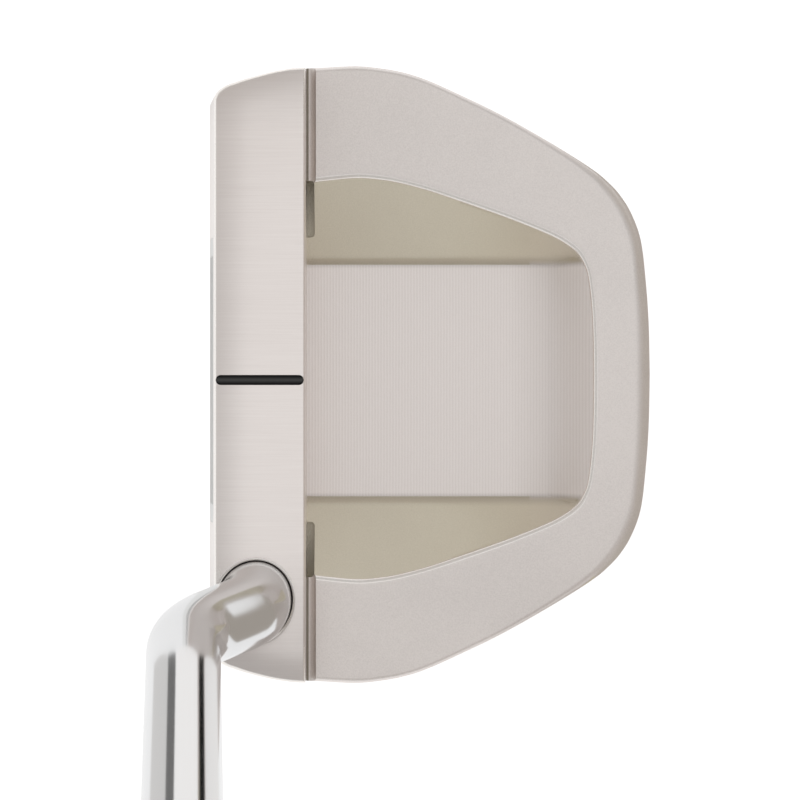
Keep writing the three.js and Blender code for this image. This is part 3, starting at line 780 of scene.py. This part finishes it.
# ------------------------------------------------------------------ sole weights
for where, (x, y) in WEIGHTS.items():
    place = Matrix.Translation((x * MM, y * MM, 0))
    profile = [(0, 0.35), (3.6, 0.35), (3.75, 0.5), (3.9, 0.35), (4.9, 0.35)]
    profile += arc(4.9, 0.85, 0.5, -90, 0, 6) + [(5.4, 7.7), (5.3, 7.8), (0, 7.8)]
    weight = obj_from(turned(profile, 72, place), f"weight_{where}", None, nodes=None)
    hexagon = [(x + px, y + py) for px, py in arc(0, 0, 5 / math.sqrt(3), 30, 390, 6)[:-1]]
    boolean(weight, prism(hexagon, -0.4, 3.6))
    boolean(weight, turned([(0, -0.3), (3.4, -0.3), (2.55, 0.75), (0, 0.75)], 48, place))
    finish_mesh(weight, 30)
    weight.data.materials.append(turned_look(f"weight_{where}", x, y))
    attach(weight, "root")
    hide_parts(f"sole_weight_{where}")


# ------------------------------------------------------------------ shaft
def bent(corners, radii, step):
    """Points and directions along straight runs joined by arcs."""
    pts = []
    start = corners[0]
    for i in range(1, len(corners) - 1):
        a = (corners[i] - corners[i - 1]).normalized()
        b = (corners[i + 1] - corners[i]).normalized()
        turn = a.angle(b)
        cut = radii[i - 1] * math.tan(turn / 2)
        p, q = corners[i] - a * cut, corners[i] + b * cut
        n = max(1, int((p - start).length / step))
        pts += [(start.lerp(p, k / n), a) for k in range(n)]
        inward = (b - a * a.dot(b)).normalized()
        m = max(6, int(radii[i - 1] * turn / 0.6))
        for k in range(m):
            t = turn * k / m
            pts.append((p + a * radii[i - 1] * math.sin(t) + inward * radii[i - 1] * (1 - math.cos(t)),
                        (a * math.cos(t) + inward * math.sin(t)).normalized()))
        start = q
    end = corners[-1]
    n = max(1, int((end - start).length / (step * 4)))
    return pts + [(start.lerp(end, k / n), (end - start).normalized()) for k in range(n + 1)]


route = bent([TIP, LOW, HIGH, HIGH + UP * 818], [11, 17], 2.0)
travel = [0.0]
for (p, _), (q, _) in zip(route, route[1:]):
    travel.append(travel[-1] + (q - p).length)


LOW_R, BUTT_R = 5.3, 7.35
TAPER = (BUTT_R - LOW_R) / 540


def shaft_r(s):
    """Outside radius along the tube from its tip: a little thicker at the tip, tapered above the bends."""
    if s < 36:
        return LOW_R + 0.12 * (1 - min(1, max(0, (s - 16) / 14)))
    return min(BUTT_R, LOW_R + (s - 36) * TAPER)


def tube(inset):
    """Rings of the tube's surface from its tip to its top, moved in by inset."""
    side = Vector((0, 1, 0))
    loops = []
    for (p, d), s in zip(route, travel):
        side = (side - d * d.dot(side)).normalized()
        w = d.cross(side)
        loops.append([tuple(p + side * x + w * y) for x, y in arc(0, 0, shaft_r(s) - inset, 0, 360, 96)[:-1]])
    return loops


bm = bmesh.new()
skin = tube(0)
strip(bm, skin + tube(0.48)[::-1] + [skin[0]])
obj_from(bm, "shaft_tube", chrome, ["shaft"])

# ------------------------------------------------------------------ grip, in the frame of the straight shaft
ACROSS = Vector((0, 1, 0)).cross(UP).normalized()
GRIP = Matrix.Translation(HIGH * MM) @ Matrix([ACROSS, UP.cross(ACROSS), UP]).transposed().to_4x4()
SECTION = catmull([(-1, 0), (-1, -0.34), (-0.98, -0.62), (-0.8, -0.86), (-0.2, -1), (0.45, -0.88),
                   (0.9, -0.5), (1.06, 0)], 6)
SECTION += [(x, -y) for x, y in SECTION[-2:0:-1]]
GRIP_LOW, GRIP_HIGH = 557.0, 818.4


def sleeve(thin, s):
    """Grip section at distance s up the shaft, thinned all round."""
    t = min(1.0, max(0.0, (s - GRIP_LOW) / (GRIP_HIGH - GRIP_LOW)))
    deep, wide, shift = 10.2 + 4.2 * t ** 1.5, 9.9 + 3.6 * t ** 1.3, 0.2 + 1.5 * t * t
    return [(x * (deep - thin) + shift, y * (wide - thin), s) for x, y in SECTION]


def placed(loops, name, mat, node, angle=35):
    """Closed skin through the loops, moved onto the straight shaft."""
    bm = bmesh.new()
    strip(bm, loops + [loops[0]])
    bmesh.ops.transform(bm, matrix=GRIP, verts=bm.verts)
    return obj_from(bm, name, mat, [node], angle)


outside = [sleeve(0.5 * (1 - x), GRIP_LOW + 0.5 * (1 - y)) for x, y in arc(0, 0, 1, -90, 0, 5)]
outside += [sleeve(0, GRIP_LOW + 0.6 + (GRIP_HIGH - GRIP_LOW - 0.9) * k / 90) for k in range(1, 91)]
outside += [sleeve(0.12, GRIP_HIGH)]
inside = [sleeve(1.4, GRIP_HIGH - (GRIP_HIGH - GRIP_LOW) * k / 30) for k in range(31)]
placed(outside + inside, "grip_sleeve", rubber, "grip_skin")

around = [math.atan2(y, x) for x, y in SECTION]
hole = [(1.4 * math.cos(a), 1.4 * math.sin(a)) for a in around]
cap = [[(x, y, GRIP_HIGH + 0.1) for x, y in hole], sleeve(0.3, GRIP_HIGH + 0.1)]
cap += [[(x, y, z + up) for x, y, z in sleeve(thin, GRIP_HIGH)] for thin, up in
        ((0.3, 1.6), (0.42, 2.1), (0.75, 2.6), (1.3, 2.95), (2.2, 3.2), (4.0, 3.35), (7.0, 3.4))]
cap += [[(x * 1.25, y * 1.25, GRIP_HIGH + 3.4) for x, y in hole], [(x, y, GRIP_HIGH + 3.15) for x, y in hole]]
placed(cap, "grip_end", moulded, "grip_cap")


def ring_piece(profile, name, mat, node):
    """Turned piece on the straight shaft's axis."""
    return obj_from(turned(profile + [profile[0]], 96, GRIP), name, mat, [node], 35)


lip = [(7.47, 550), (8.45, 550), (8.7, 550.25)]
lip += [(8.7 + 0.65 * t, 550.25 + 6.3 * t) for t in (0.25, 0.5, 0.75, 1)]
lip += [(9.2, 556.9), (7.47, 556.9)]
ring_piece(lip, "grip_mouth", moulded, "grip_collar")


def at(s):
    """Radius of the shaft at distance s up its straight part."""
    return LOW_R + (s + 4) * TAPER


lo, hi = at(470) + 0.12, at(512) + 0.12
ring_piece([(lo, 470), (lo + 0.14, 470), (lo + 0.2, 470.1), (hi + 0.2, 511.9), (hi + 0.14, 512), (hi, 512)],
           "band", film, "shaft_band")

# ------------------------------------------------------------------ CAD meshes that stay as they are
looks = {
    "insert_backing": pad, "weight_washer_toe": nylon, "weight_washer_heel": nylon, "tip_plug": nylon,
    "shaft_adhesive": glue, "grip_tape": tape_n.mat, "grip_core": foam_n.mat,
}
for name, mat in looks.items():
    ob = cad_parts[name]
    ob.data.materials.clear()
    ob.data.materials.append(mat)


# ------------------------------------------------------------------ floor, light and camera
def card(name, corners, color):
    """Flat studio card of one colour, which only reflections see."""
    n = Look(name, (0, 0, 0), 1.0, 0.0)
    n.set(Emission_Color=(*color, 1), Emission_Strength=1.0, Specular_IOR_Level=0.0)
    bm = bmesh.new()
    bm.faces.new([bm.verts.new([c * MM for c in p]) for p in corners])
    ob = obj_from(bm, name, n.mat, nodes=None)
    for key in ("diffuse", "shadow", "transmission", "volume_scatter"):
        setattr(ob, "visible_" + key, False)
    ob.visible_camera = False


ground_n = Look("floor_white", (0.8, 0.8, 0.8), 0.9, 0.0)
ground_n.set(Emission_Color=(1, 1, 1, 1), Emission_Strength=0.62)
bm = bmesh.new()
bmesh.ops.create_grid(bm, x_segments=1, y_segments=1, size=6)
ground = obj_from(bm, "ground", ground_n.mat, nodes=None)
ground.location.z = -0.0002
ground.visible_glossy = False


def floor_card(name, x0, x1, y0, y1, z, color):
    card(name, [(x0, y0, z), (x1, y0, z), (x1, y1, z), (x0, y1, z)], color)


floor_card("below", -3000, 3000, -3000, 3000, -1.0, (0.97, 0.97, 0.97))
# a grey strip in front of the face, which the face reflects: painted shade on the floor there
floor_card("contact_shade", -60, 60, -38, -32.6, -0.8, (0.85, 0.85, 0.84))
floor_card("warm_back", -60, 300, 28, 420, -0.6, (0.40, 0.365, 0.325))
card("far_back", [(-700, 420, -1), (500, 420, -1), (500, 420, 400), (-700, 420, 400)], (0.42, 0.385, 0.345))

def warm(level):
    return (level, level * 0.985, level * 0.97)


# plain flags standing along the lower shaft, each one colour, at angles round it; only reflections see them,
# so the light and dark streaks they put on the chrome are painted reflections
SIDE_1 = (Vector((0, 0, 1)) - UP * UP.z).normalized()
SIDE_2 = UP.cross(SIDE_1) * (1 if UP.cross(SIDE_1).y > 0 else -1)


def shaft_flag(name, low_angle, high_angle, level):
    corners = []
    for up, a in ((20, low_angle), (20, high_angle), (80, high_angle), (80, low_angle)):
        n = SIDE_1 * math.cos(math.radians(a)) + SIDE_2 * math.sin(math.radians(a))
        corners.append(HIGH + UP * up + n * 5.3 + (n * 2 * n.z - Vector((0, 0, 1))) * 14)
    card(name, corners, warm(level))


shaft_flag("grey_flag", -46, -19, 0.70)
shaft_flag("dark_flag", -19, -7, 0.18)
shaft_flag("white_flag", -7, 26, 1.0)
shaft_flag("black_flag", 28.5, 36.7, 0.0)
shaft_flag("pale_flag", 38, 66, 0.88)


def area(name, place, look_at, size, power):
    """Square soft light, in metres and watts."""
    light = bpy.data.lights.new(name, "AREA")
    light.size = size
    light.energy = power
    ob = bpy.data.objects.new(name, light)
    ob.location = place
    ob.rotation_euler = (Vector(look_at) - Vector(place)).to_track_quat("-Z", "Y").to_euler()
    bpy.context.scene.collection.objects.link(ob)


area("top", (-0.16, 0.06, 1.3), (0, 0, 0), 0.45, 0.16)
card("heel_flag", [(52, -10, 230), (420, -10, 230), (420, 320, 230), (52, 320, 230)], (0.5, 0.47, 0.45))
card("toe_flag", [(-420, -320, 230), (-46, -320, 230), (-46, -24, 230), (-420, -24, 230)], (0.55, 0.52, 0.50))

# sky: pale from the horizon up, dimmer high up and paler again overhead
world = bpy.data.worlds.new("soft")
world.use_nodes = True
wt = world.node_tree
bg = wt.nodes["Background"]
sky = wt.nodes.new("ShaderNodeTexCoord")
parts = wt.nodes.new("ShaderNodeSeparateXYZ")
shade = wt.nodes.new("ShaderNodeValToRGB")
wt.links.new(sky.outputs["Generated"], parts.inputs[0])
wt.links.new(parts.outputs["Z"], shade.inputs["Fac"])
wt.links.new(shade.outputs["Color"], bg.inputs["Color"])
levels = [(0.0, 0.97), (0.42, 0.92), (0.68, 0.56), (0.92, 0.5), (0.985, 0.82)]
els = shade.color_ramp.elements
for _ in levels[2:]:
    els.new(0.5)
for e, (pos, level) in zip(els, levels):
    e.position = pos
    e.color = (*warm(level), 1) if 0.5 < pos < 0.95 else (level, level, level, 1)
bpy.context.scene.world = world

# straight down on the head, with the face to the left
cam = bpy.data.cameras.new("cam")
cam.sensor_width = 36
cam.lens = 246.6
cam.clip_end = 20
cam_ob = bpy.data.objects.new("cam", cam)
cam_ob.location = (0.00292, -0.0043, 0.825)
cam_ob.rotation_euler = (0, 0, math.pi / 2)
bpy.context.scene.collection.objects.link(cam_ob)
bpy.context.scene.camera = cam_ob
bpy.context.scene.view_settings.view_transform = "Standard"
